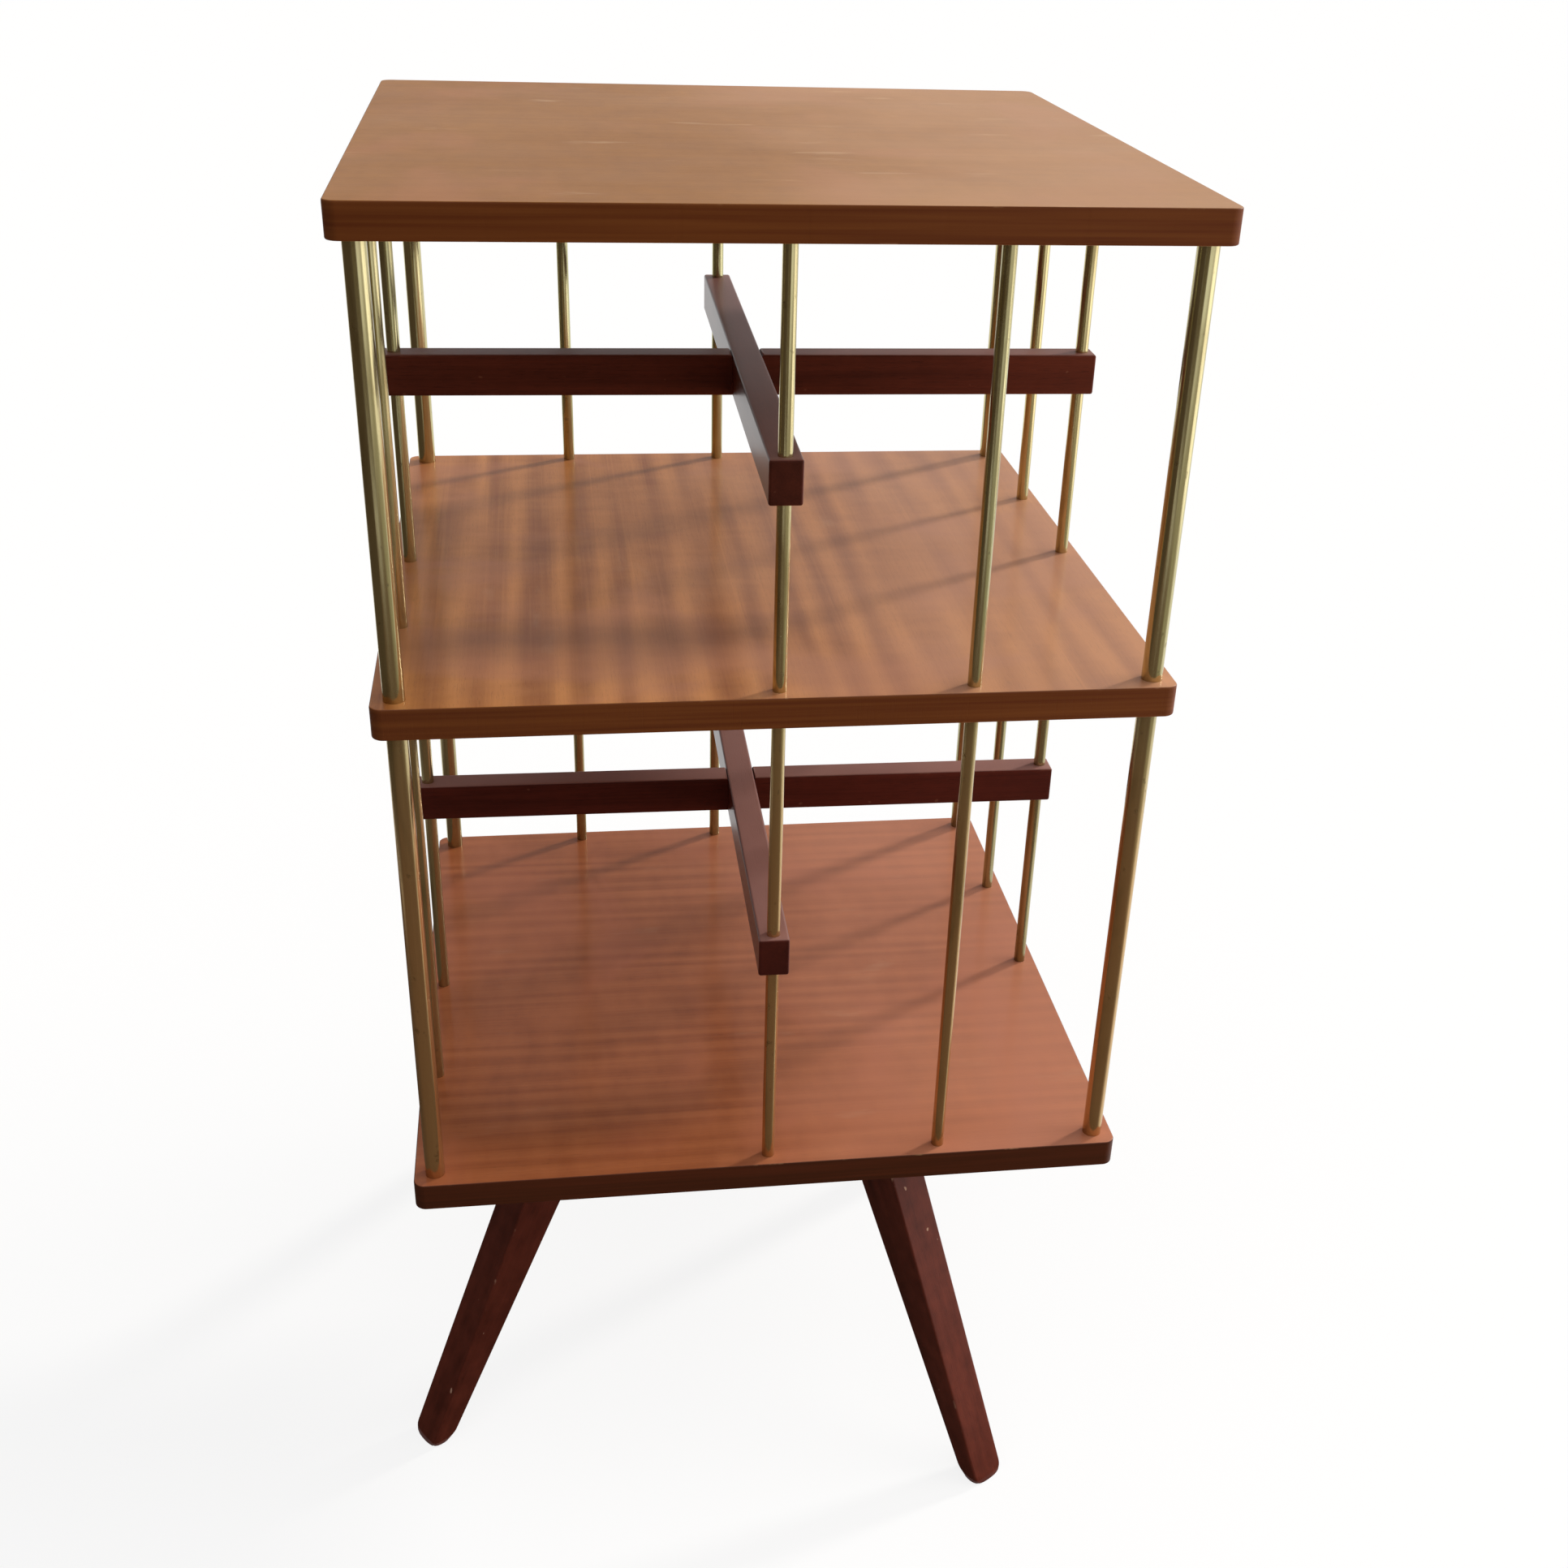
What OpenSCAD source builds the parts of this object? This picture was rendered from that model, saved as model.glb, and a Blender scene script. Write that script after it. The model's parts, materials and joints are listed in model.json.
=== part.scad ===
// Revolving bookcase: three square shelves on brass posts and rods, turning on a stand with splayed legs.
// Millimetres, +Z up, origin on the floor under the turning axis, front of the case towards -Y.

/* [Shelves] */
// Side of each square shelf
shelf_w = 450; // [400:5:520]
// Thickness of each shelf
shelf_t = 18.5; // [17:0.5:25]
// Plan radius of the shelf corners
shelf_corner_r = 7; // [3:0.5:12]
// Clear height between the middle and the top shelf
upper_clear = 241.5; // [200:0.5:320]
// Clear height between the bottom and the middle shelf
lower_clear = 306; // [240:0.5:380]

/* [Posts and rods] */
// Diameter of the corner posts
post_d = 12; // [11.5:0.5:16]
// Diameter of the middle and quarter rods
rod_d = 8; // [6:0.5:10]
// Distance from the shelf edge to the outside of the posts and rods
rod_edge_gap = 7; // [4:0.5:12]
// Distance of the quarter rods from the middle of their side
quarter_at = 108; // [70:1:140]
// Depth of the blind seats that hold the ends of posts and rods
seat_depth = 6; // [4:0.5:7]
// Radial clearance of posts, rods and pins in their holes
seat_fit = 0.05; // [0.02:0.01:0.1]

/* [Crosses] */
// Width of the cross bars
cross_w = 18.5; // [14:0.5:24]
// Height of the cross bars
cross_h = 25; // [18:0.5:34]
// Length of a cross arm past the centre of its rod
cross_end_past = 7.5; // [6:0.5:10]
// Turn of the crosses and their rods against the shelves, degrees
cross_turn = 0.7; // [0:0.1:1.5]
// Clearance on each side of the cross-laps, tenons and other flat joints
joint_fit = 0.1; // [0.05:0.05:0.2]

/* [Tie rods] */
// Diameter of the tie rods inside the corner posts
tie_d = 6; // [5:0.5:6.5]
// Radial clearance round the tie rods in the posts and shelves
tie_clear = 0.7; // [0.4:0.1:0.9]
// Radial clearance of the tie rods in their nuts and inserts
thread_fit = 0.05; // [0.02:0.01:0.1]
// Outer diameter of the threaded inserts in the top shelf
insert_d = 9.5; // [8.5:0.5:11]
// Length of the threaded inserts
insert_l = 8.5; // [6:0.5:9.5]
// Diameter of the washers under the bottom shelf
washer_d = 14; // [11:0.5:15]
// Thickness of the washers
washer_t = 1.6; // [1:0.1:2]
// Width across flats of the nuts
nut_flats = 10; // [9:0.5:11]
// Height of the nuts
nut_h = 5; // [4:0.5:5.5]
// Diameter of the recesses for the nuts
recess_d = 16; // [15.5:0.5:20]
// Depth of the recesses for the nuts
recess_depth = 8.5; // [8:0.1:9]

/* [Swivel] */
// Side of the square swivel plates
plate_w = 130; // [120:1:150]
// Thickness of the swivel plates
plate_t = 2; // [1.5:0.1:3]
// Plan radius of the plate corners
plate_corner_r = 10; // [4:0.5:12]
// Radius of the ball track
race_r = 48; // [40:0.5:50]
// Width of the raised ball track
race_w = 14; // [10:0.5:16]
// Height of the raised ball track on each plate
race_h = 2.2; // [1.8:0.1:2.3]
// Diameter of the balls
ball_d = 5; // [4.8:0.1:5.4]
// Number of balls
ball_count = 16; // [8:1:24]
// Clearance between the balls and the upper track
race_fit = 0.3; // [0.25:0.05:0.35]
// Gap between the upper and lower track
race_gap = 1.6; // [1.4:0.1:2]
// Outer diameter of the centre rivet
rivet_d = 24; // [20:0.5:28]
// Bore of the centre rivet
rivet_bore = 18; // [12:0.5:18.5]
// Width of the rivet flanges past its tube
flange_w = 3; // [2:0.5:5]
// Thickness of the rivet flanges
flange_t = 1.5; // [1:0.1:2]
// Radial running clearance of the upper plate on the rivet
run_fit = 0.06; // [0.02:0.01:0.1]
// Clearance above and round the rivet flanges
flange_clear = 0.6; // [0.4:0.1:1]

/* [Screws] */
// Diameter of the plate screws
screw_d = 4; // [3:0.5:5]
// Diameter of the plate screw heads
screw_head_d = 8; // [7:0.5:9]
// Length of the plate screws, head included
screw_l = 14; // [10:0.5:15]
// Distance of the plate screws from the edges of their plate
screw_inset = 10; // [8:0.5:12]

/* [Stand] */
// Height of the stand, from the floor to its top
stand_h = 257; // [200:1:340]
// Turn of the stand under the case, degrees
stand_turn = 33.5; // [0:0.5:89.5]
// Width of the stand's bars
bar_w = 28; // [22:0.5:28]
// Height of the stand's bars
bar_h = 38; // [34:0.5:50]
// Distance of the leg's middle line from the turning axis, at its top
leg_top_r = 143.5; // [125:0.5:170]
// Slope of the leg's middle line from upright, degrees
leg_splay = 28.25; // [12:0.25:34]
// Thickness of the legs at the top, square to their middle line
leg_top_t = 41.8; // [36:0.1:50]
// Thickness of the legs at the floor, square to their middle line
foot_t = 15; // [12:0.5:26]
// Width of the legs at the top
leg_top_w = 29; // [29:0.5:36]
// Width of the legs at the floor
foot_w = 25.5; // [18:0.5:28]
// Thickness of the tenons on the bars
tenon_w = 10; // [8:0.5:12]
// Height of the tenons
tenon_h = 24; // [18:0.5:28]
// Length of the tenons past the leg's middle line
tenon_past = 6; // [2:0.5:8]
// Diameter of the pins through the tenons
pin_d = 6; // [5:0.5:8]
// Depth of the pin ends below the sides of the leg
pin_sunk = 1; // [0.5:0.5:3]

/* [Hidden] */
$fn = 48;
// Reach of a cutter past the face that it cuts
cut = 1;
TIERS = ["upper", "lower"];
SIDES = ["front", "right", "rear", "left"];
CORNERS = ["front_right", "rear_right", "rear_left", "front_left"];

// Heights of the case above the floor
swivel_h = 2 * plate_t + 2 * race_h + race_gap;
bottom_z = stand_h + swivel_h;
middle_z = bottom_z + shelf_t + lower_clear;
top_z = middle_z + shelf_t + upper_clear;
tier_floor = [middle_z + shelf_t, bottom_z + shelf_t];
tier_clear = [upper_clear, lower_clear];

// Places of the posts and rods on the front side
post_at = shelf_w / 2 - rod_edge_gap - post_d / 2;
rod_at = shelf_w / 2 - rod_edge_gap - rod_d / 2;
cross_half = rod_at + cross_end_past;
tie_hole_d = tie_d + 2 * tie_clear;

// Swivel
race_mid = plate_t + race_h + race_gap / 2;
track_r = ball_d / 2 + race_fit;
flange_d = rivet_d + 2 * flange_w;
flange_hole_d = flange_d + 2 * flange_clear;
flange_hole_depth = flange_t + 2 * flange_clear;
screw_head_h = (screw_head_d - screw_d) / 2;
screw_at = (plate_w / 2 - screw_inset) * sqrt(2);

// Stand
leg_l = stand_h / cos(leg_splay);
tenon_z = stand_h - bar_h / 2;
// Distance of the leg's middle line from the turning axis, at the height z
function leg_mid_r(z) = leg_top_r + (stand_h - z) * tan(leg_splay);

shelf_colour = "#a8794f";
dark_wood = "#43190f";
leg_wood = "#4a2118";
brass = "#b59d5c";
steel = "#9a9c9f";

module at_corner(i) {
    rotate([0, 0, 90 * i]) translate([post_at, -post_at, 0]) children();
}

module at_quarter(i) {
    rotate([0, 0, 90 * i]) translate([quarter_at, -rod_at, 0]) children();
}

module at_mid(i) {
    rotate([0, 0, 90 * i - cross_turn]) translate([0, -rod_at, 0]) children();
}

module at_each_corner() {
    for (i = [0:3]) at_corner(i) children();
}

// Places a screw that holds the upper swivel plate, head down
module at_upper_screw(i) {
    rotate([0, 0, 45 + 90 * i]) translate([screw_at, 0, bottom_z - plate_t]) mirror([0, 0, 1]) children();
}

// Turns a piece of the stand to the leg numbered i, with +X pointing out along that leg
module at_leg(i) {
    rotate([0, 0, stand_turn + 90 * (i - 1)]) children();
}

module rounded_square(w, r) {
    square([w - 2 * r, w], center = true);
    square([w, w - 2 * r], center = true);
    for (i = [0:3]) rotate(90 * i) translate([w / 2 - r, w / 2 - r]) circle(r);
}

module shelf_board(z) {
    translate([0, 0, z]) linear_extrude(shelf_t) rounded_square(shelf_w, shelf_corner_r);
}

// Blind seats for the ends of one tier's posts and rods, from the height low to the height high
module seats(low, high) {
    for (i = [0:3]) {
        at_corner(i) translate([0, 0, low]) cylinder(d = post_d + 2 * seat_fit, h = high - low);
        at_mid(i) translate([0, 0, low]) cylinder(d = rod_d + 2 * seat_fit, h = high - low);
        at_quarter(i) translate([0, 0, low]) cylinder(d = rod_d + 2 * seat_fit, h = high - low);
    }
}

module shelf_top() {
    color(shelf_colour) difference() {
        shelf_board(top_z);
        seats(top_z - cut, top_z + seat_depth);
        at_each_corner() translate([0, 0, top_z])
            cylinder(d = insert_d + 2 * seat_fit, h = seat_depth + insert_l);
    }
}

module shelf_middle() {
    color(shelf_colour) difference() {
        shelf_board(middle_z);
        seats(middle_z - cut, middle_z + seat_depth);
        seats(middle_z + shelf_t - seat_depth, middle_z + shelf_t + cut);
        at_each_corner() translate([0, 0, middle_z]) cylinder(d = tie_hole_d, h = shelf_t);
    }
}

module shelf_bottom() {
    color(shelf_colour) difference() {
        shelf_board(bottom_z);
        seats(bottom_z + shelf_t - seat_depth, bottom_z + shelf_t + cut);
        at_each_corner() translate([0, 0, bottom_z]) cylinder(d = tie_hole_d, h = shelf_t);
        at_each_corner() translate([0, 0, bottom_z - cut]) cylinder(d = recess_d, h = recess_depth + cut);
        translate([0, 0, bottom_z - cut]) cylinder(d = flange_hole_d, h = flange_hole_depth + cut);
        for (i = [0:3]) at_upper_screw(i) plate_screw(seat_fit);
    }
}

// Straight round bar of one tier, seated in the shelf below and the shelf above
module tier_bar(tier, d) {
    translate([0, 0, tier_floor[tier] - seat_depth]) cylinder(d = d, h = tier_clear[tier] + 2 * seat_depth);
}

module corner_post(tier, i) {
    color(brass) at_corner(i) difference() {
        tier_bar(tier, post_d);
        translate([0, 0, tier_floor[tier] - seat_depth - cut])
            cylinder(d = tie_hole_d, h = tier_clear[tier] + 2 * seat_depth + 2 * cut);
    }
}

module mid_rod(tier, i) {
    color(brass) at_mid(i) tier_bar(tier, rod_d);
}

module quarter_rod(tier, i) {
    color(brass) at_quarter(i) tier_bar(tier, rod_d);
}

// Bar of a cross along Y, with its rod holes and a half-height notch that starts at notch_z
module cross_bar(tier, notch_z) {
    cross_z = tier_floor[tier] + (tier_clear[tier] - cross_h) / 2;
    translate([0, 0, cross_z]) difference() {
        translate([-cross_w / 2, -cross_half, 0]) cube([cross_w, 2 * cross_half, cross_h]);
        for (side = [-1, 1]) translate([0, side * rod_at, -cut])
            cylinder(d = rod_d + 2 * seat_fit, h = cross_h + 2 * cut);
        translate([-cross_w, -cross_w / 2 - joint_fit, notch_z])
            cube([2 * cross_w, cross_w + 2 * joint_fit, cross_h / 2 + cut]);
    }
}

module cross_long(tier) {
    color(dark_wood) rotate([0, 0, -cross_turn]) cross_bar(tier, -cut);
}

module cross_side(tier) {
    color(dark_wood) rotate([0, 0, 90 - cross_turn]) cross_bar(tier, cross_h / 2);
}

module tie_rods() {
    nut_low = bottom_z + recess_depth - washer_t - nut_h;
    rod_low = (bottom_z + nut_low) / 2;
    color(steel) at_each_corner() translate([0, 0, rod_low])
        cylinder(d = tie_d, h = top_z + seat_depth + insert_l - rod_low);
}

module tie_inserts() {
    color(brass) at_each_corner() translate([0, 0, top_z + seat_depth]) difference() {
        cylinder(d = insert_d, h = insert_l);
        translate([0, 0, -cut]) cylinder(d = tie_d + 2 * thread_fit, h = insert_l + 2 * cut);
    }
}

module tie_washers() {
    color(steel) at_each_corner() translate([0, 0, bottom_z + recess_depth - washer_t]) difference() {
        cylinder(d = washer_d, h = washer_t);
        translate([0, 0, -cut]) cylinder(d = tie_hole_d, h = washer_t + 2 * cut);
    }
}

module tie_nuts() {
    color(steel) at_each_corner() translate([0, 0, bottom_z + recess_depth - washer_t - nut_h]) difference() {
        cylinder(d = nut_flats / cos(30), h = nut_h, $fn = 6);
        translate([0, 0, -cut]) cylinder(d = tie_d + 2 * thread_fit, h = nut_h + 2 * cut);
    }
}

// Countersunk screw along -Z with the top of its head at the origin, grown in radius by fit
module plate_screw(fit) {
    translate([0, 0, -screw_head_h])
        cylinder(d1 = screw_d + 2 * fit, d2 = screw_head_d + 2 * fit, h = screw_head_h);
    translate([0, 0, -screw_l]) cylinder(d = screw_d + 2 * fit, h = screw_l - screw_head_h);
}

// Hole for a plate screw, carried on past the top of its head
module screw_hole() {
    plate_screw(seat_fit);
    cylinder(d = screw_head_d + 2 * seat_fit, h = cut);
}

// Swivel plate lying on Z = 0 with its ball track on top, corners along the X and Y axes
module swivel_plate(track_z, hole_d) {
    difference() {
        union() {
            rotate([0, 0, 45]) linear_extrude(plate_t) rounded_square(plate_w, plate_corner_r);
            cylinder(r = race_r + race_w / 2, h = plate_t + race_h);
        }
        translate([0, 0, plate_t]) cylinder(r = race_r - race_w / 2, h = race_h + cut);
        rotate_extrude() translate([race_r, track_z]) circle(track_r);
        translate([0, 0, -cut]) cylinder(d = hole_d, h = plate_t + 2 * cut);
        for (i = [0:3]) rotate([0, 0, 90 * i]) translate([screw_at, 0, plate_t]) screw_hole();
    }
}

module swivel_plate_lower() {
    color(steel) translate([0, 0, stand_h]) at_leg(0)
        swivel_plate(race_mid + race_fit, rivet_d + 2 * seat_fit);
}

module swivel_plate_upper() {
    color(steel) translate([0, 0, bottom_z]) mirror([0, 0, 1]) rotate([0, 0, 45])
        swivel_plate(race_mid, rivet_d + 2 * run_fit);
}

module lower_plate_screws() {
    color(steel) for (i = [0:3]) at_leg(i) translate([screw_at, 0, stand_h + plate_t]) plate_screw(0);
}

module upper_plate_screws() {
    color(steel) for (i = [0:3]) at_upper_screw(i) plate_screw(0);
}

module swivel_rivet() {
    rivet_low = stand_h - flange_t;
    upper_flange = bottom_z + flange_clear;
    color(steel) difference() {
        union() {
            translate([0, 0, rivet_low]) cylinder(d = rivet_d, h = upper_flange + flange_t - rivet_low);
            translate([0, 0, rivet_low]) cylinder(d = flange_d, h = flange_t);
            translate([0, 0, upper_flange]) cylinder(d = flange_d, h = flange_t);
        }
        translate([0, 0, rivet_low - cut])
            cylinder(d = rivet_bore, h = upper_flange + flange_t - rivet_low + 2 * cut);
    }
}

module swivel_balls() {
    color(steel) for (i = [1:ball_count]) rotate([0, 0, 360 * i / ball_count])
        translate([race_r, 0, stand_h + race_mid]) sphere(d = ball_d);
}

// Outline of a leg along +X, tapered from the size top to the size foot and drawn on past both ends
module leg_outline(top, foot) {
    taper = (top - foot) / 2 / leg_l;
    polygon([
        [-top, -top / 2 - top * taper],
        [leg_l + foot, -foot / 2 + foot * taper],
        [leg_l + foot, foot / 2 - foot * taper],
        [-top, top / 2 + top * taper]
    ]);
}

// Turns +X down along the middle line of a leg that leans out along +X
module along_leg() {
    translate([leg_top_r, 0, stand_h]) rotate([0, 90 - leg_splay, 0]) children();
}

// Leg seen from the side, as a slab of the width w
module leg_slab(w) {
    along_leg() rotate([90, 0, 0]) linear_extrude(w, center = true) leg_outline(leg_top_t, foot_t);
}

// Leg before its mortise is cut, between the floor and the top of the stand
module leg_blank() {
    intersection() {
        leg_slab(2 * leg_top_w);
        along_leg() linear_extrude(2 * leg_top_t, center = true) leg_outline(leg_top_w, foot_w);
        translate([0, -leg_top_w, 0]) cube([leg_top_r + leg_l, 2 * leg_top_w, stand_h]);
    }
}

// Tenon along +X from the middle of the stand, grown on every side by fit
module tenon(fit) {
    translate([leg_top_r / 2, -tenon_w / 2 - fit, tenon_z - tenon_h / 2 - fit])
        cube([leg_mid_r(tenon_z) + tenon_past + fit - leg_top_r / 2, tenon_w + 2 * fit, tenon_h + 2 * fit]);
}

// Pin through a leg and its tenon, grown in radius by fit
module leg_pin(l, fit) {
    translate([leg_mid_r(tenon_z), 0, tenon_z]) rotate([90, 0, 0])
        cylinder(d = pin_d + 2 * fit, h = l, center = true);
}

module leg(i) {
    color(leg_wood) at_leg(i) difference() {
        leg_blank();
        tenon(joint_fit);
        leg_pin(leg_top_w + 2 * cut, seat_fit);
    }
}

module leg_pins() {
    color(dark_wood) for (i = [0:3]) at_leg(i) leg_pin(leg_top_w - 2 * pin_sunk, 0);
}

// Bar of the stand along X, with a tenon at each end and a half-height notch that starts at notch_z
module stand_bar(notch_z) {
    bar_half = leg_mid_r(tenon_z);
    bar_low = stand_h - bar_h;
    difference() {
        union() {
            difference() {
                translate([-bar_half, -bar_w / 2, bar_low]) cube([2 * bar_half, bar_w, bar_h]);
                for (i = [0, 1]) rotate([0, 0, 180 * i]) leg_slab(2 * bar_w);
            }
            for (i = [0, 1]) rotate([0, 0, 180 * i]) tenon(0);
        }
        translate([-bar_w / 2 - joint_fit, -bar_w, notch_z])
            cube([bar_w + 2 * joint_fit, 2 * bar_w, bar_h / 2 + cut]);
        translate([0, 0, stand_h - flange_hole_depth])
            cylinder(d = flange_hole_d, h = flange_hole_depth + cut);
        for (i = [0, 1]) rotate([0, 0, 180 * i]) {
            translate([screw_at, 0, stand_h + plate_t]) plate_screw(seat_fit);
            leg_pin(leg_top_w, seat_fit);
        }
    }
}

module stand_bar_over() {
    color(leg_wood) at_leg(0) stand_bar(stand_h - bar_h - cut);
}

module stand_bar_under() {
    color(leg_wood) at_leg(1) stand_bar(stand_h - bar_h / 2);
}

shelf_top();
shelf_middle();
shelf_bottom();
for (t = [0:1]) for (i = [0:3]) {
    corner_post(t, i);
    mid_rod(t, i);
    quarter_rod(t, i);
}
for (t = [0:1]) {
    cross_long(t);
    cross_side(t);
}
tie_rods();
tie_inserts();
tie_washers();
tie_nuts();
swivel_plate_upper();
upper_plate_screws();
swivel_plate_lower();
lower_plate_screws();
swivel_rivet();
swivel_balls();
stand_bar_over();
stand_bar_under();
for (i = [0:3]) {
    leg(i);
}
leg_pins();
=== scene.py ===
# %% [markdown]
# # A revolving bookcase, dressed in Blender
# The real thing is a case of three square veneered shelves, held apart by brass posts and rods, with a dark
# wood cross in each tier. It turns on a hidden swivel above a stand with four splayed legs.
# The CAD model already has every size, so it is loaded as a fixed frame. This lesson adds what CAD leaves
# out: eased edges, round brass, veneer and varnish, wear, and a plain studio to see them in.

# %% Load the CAD frame
import json
import math

import bmesh
import bpy
from mathutils import Matrix, Vector

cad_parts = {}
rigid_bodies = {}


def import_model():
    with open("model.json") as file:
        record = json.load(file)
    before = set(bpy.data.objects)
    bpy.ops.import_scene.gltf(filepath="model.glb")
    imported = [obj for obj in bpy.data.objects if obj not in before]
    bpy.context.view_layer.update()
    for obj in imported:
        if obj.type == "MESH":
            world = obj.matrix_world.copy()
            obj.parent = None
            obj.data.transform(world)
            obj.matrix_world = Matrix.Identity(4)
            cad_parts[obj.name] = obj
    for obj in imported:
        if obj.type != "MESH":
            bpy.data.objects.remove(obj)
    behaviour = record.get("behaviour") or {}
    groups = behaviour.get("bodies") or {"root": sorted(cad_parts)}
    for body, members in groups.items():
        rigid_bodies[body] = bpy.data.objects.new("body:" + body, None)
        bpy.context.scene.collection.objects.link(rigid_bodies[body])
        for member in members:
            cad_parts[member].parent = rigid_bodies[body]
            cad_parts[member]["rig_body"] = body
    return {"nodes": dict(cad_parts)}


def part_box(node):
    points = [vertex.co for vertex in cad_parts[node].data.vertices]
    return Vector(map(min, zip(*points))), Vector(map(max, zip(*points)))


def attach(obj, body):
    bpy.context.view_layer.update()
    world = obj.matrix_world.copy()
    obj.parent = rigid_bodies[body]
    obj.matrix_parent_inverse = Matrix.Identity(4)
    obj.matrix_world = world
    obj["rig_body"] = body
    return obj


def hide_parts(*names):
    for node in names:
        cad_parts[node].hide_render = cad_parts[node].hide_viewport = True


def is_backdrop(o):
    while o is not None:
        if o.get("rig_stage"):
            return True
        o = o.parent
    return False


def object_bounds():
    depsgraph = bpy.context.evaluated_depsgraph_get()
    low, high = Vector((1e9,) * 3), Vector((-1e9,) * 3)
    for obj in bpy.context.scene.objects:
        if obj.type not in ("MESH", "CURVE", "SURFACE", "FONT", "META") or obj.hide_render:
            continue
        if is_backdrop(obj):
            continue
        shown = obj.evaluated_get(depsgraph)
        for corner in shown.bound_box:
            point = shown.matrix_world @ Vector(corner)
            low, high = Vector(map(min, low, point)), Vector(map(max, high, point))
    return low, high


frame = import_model()
cad_low, cad_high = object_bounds()
scene = bpy.context.scene
print("CAD box in mm:", [round(1000 * side, 1) for side in cad_high - cad_low])

# %% [markdown]
# ## Camera
# The photograph was taken standing up, a little to the left of the front and looking down. Its camera can be
# found from the corners of the shelves, because a square board of known size shows only one way from one
# place. Blender needs a place, three axes, a lens and a small shift, since the picture was cropped.

# %% Set up the camera
PHOTO_SIDE = 1932
FOCAL_PIXELS = 2254.0
PICTURE_CENTRE = (1007.9, 1045.7)
SENSOR_WIDTH = 36.0
eye = Vector((-0.1268, -1.1342, 1.0286))
to_right = Vector((0.98937, -0.14160, 0.03321)).normalized()
to_top = Vector((0.04040, 0.48689, 0.87253)).normalized()

camera_data = bpy.data.cameras.new("camera")
camera_data.sensor_fit = "HORIZONTAL"
camera_data.sensor_width = SENSOR_WIDTH
camera_data.lens = FOCAL_PIXELS * SENSOR_WIDTH / PHOTO_SIDE
camera_data.shift_x = (PHOTO_SIDE / 2 - PICTURE_CENTRE[0]) / PHOTO_SIDE
camera_data.shift_y = (PICTURE_CENTRE[1] - PHOTO_SIDE / 2) / PHOTO_SIDE
camera = bpy.data.objects.new("camera", camera_data)
scene.collection.objects.link(camera)
axes = Matrix((to_right, to_top, to_right.cross(to_top))).transposed()
camera.matrix_world = Matrix.Translation(eye) @ axes.to_4x4()
scene.camera = camera
print("lens in mm:", round(camera_data.lens, 2))

# %% [markdown]
# ## A helper for node trees
# Materials, the world and Geometry Nodes are all trees of nodes. They could be wired by hand with dozens of
# links, but sums are easier to read as Python. A Wire holds one output socket: arithmetic on it adds Math
# nodes, and its node() method adds any other node, with its sockets first and its settings after.


# %% Wires
class Wire:
    """One output socket of a node tree."""

    def __init__(self, tree, socket=None):
        self.tree, self.socket = tree, socket

    def node(self, kind, sockets=None, out=0, **settings):
        """Adds a node, and returns one of its outputs."""
        made = self.tree.nodes.new(kind)
        for name, value in settings.items():
            setattr(made, name, value)
        for name, value in (sockets or {}).items():
            if isinstance(value, Wire):
                self.tree.links.new(value.socket, made.inputs[name])
            else:
                made.inputs[name].default_value = value
        return Wire(self.tree, made.outputs[out]) if made.outputs else None

    def math(self, operation, *values):
        """Adds a Math node."""
        return self.node("ShaderNodeMath", dict(enumerate(values)), operation=operation)

    def __add__(self, other):
        return self.math("ADD", self, other)

    def __sub__(self, other):
        return self.math("SUBTRACT", self, other)

    def __rsub__(self, other):
        return self.math("SUBTRACT", other, self)

    def __mul__(self, other):
        return self.math("MULTIPLY", self, other)

    def __abs__(self):
        return self.math("ABSOLUTE", self)

    __radd__, __rmul__ = __add__, __mul__


print("methods of a Wire:", [name for name in vars(Wire) if not name.startswith("_")])


# %% Common nodes
def ramp(value, low, high):
    """0 below low, 1 above high, and smooth between."""
    spread = {"Value": value, "From Min": low, "From Max": high}
    return value.node("ShaderNodeMapRange", spread, interpolation_type="SMOOTHSTEP")


def swung(value, share):
    """A noise as a swing about zero, share wide."""
    return share * (value - 0.5)


def mixed(colour_a, colour_b, share):
    """colour_a where share is 0, colour_b where it is 1."""
    return share.node("ShaderNodeMix", {0: share, 6: colour_a, 7: colour_b}, out=2, data_type="RGBA")


def scaled(colour, amount):
    """A colour made darker or lighter by a value."""
    return amount.node("ShaderNodeVectorMath", {0: colour, "Scale": amount}, operation="SCALE")


def axis_of(vector, axis):
    """One of the three values of a vector."""
    return vector.node("ShaderNodeSeparateXYZ", {"Vector": vector}, out=axis)


def own_place(bench):
    """Where a point lies in its object, in metres."""
    return bench.node("ShaderNodeTexCoord", out="Object")


def stored(bench, name, out="Fac"):
    """What a mesh stores in an attribute."""
    return bench.node("ShaderNodeAttribute", out=out, attribute_name=name)


def noise(place, stretch, detail=2.0, distortion=0.0):
    """Noise whose lumps are 1/stretch metres in each direction."""
    put = place.node("ShaderNodeMapping", {"Vector": place, "Scale": stretch})
    return put.node("ShaderNodeTexNoise",
                    {"Vector": put, "Scale": 1.0, "Detail": detail, "Distortion": distortion})


def linear(code):
    """A colour written as six hex digits, in the linear values that Blender mixes, by the sRGB rule."""
    parts = [int(code[i:i + 2], 16) / 255 for i in (0, 2, 4)]
    return tuple(p / 12.92 if p <= 0.04045 else ((p + 0.055) / 1.055) ** 2.4 for p in parts) + (1.0,)


print("a colour in linear values:", [round(v, 3) for v in linear("a8805f")])

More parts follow.
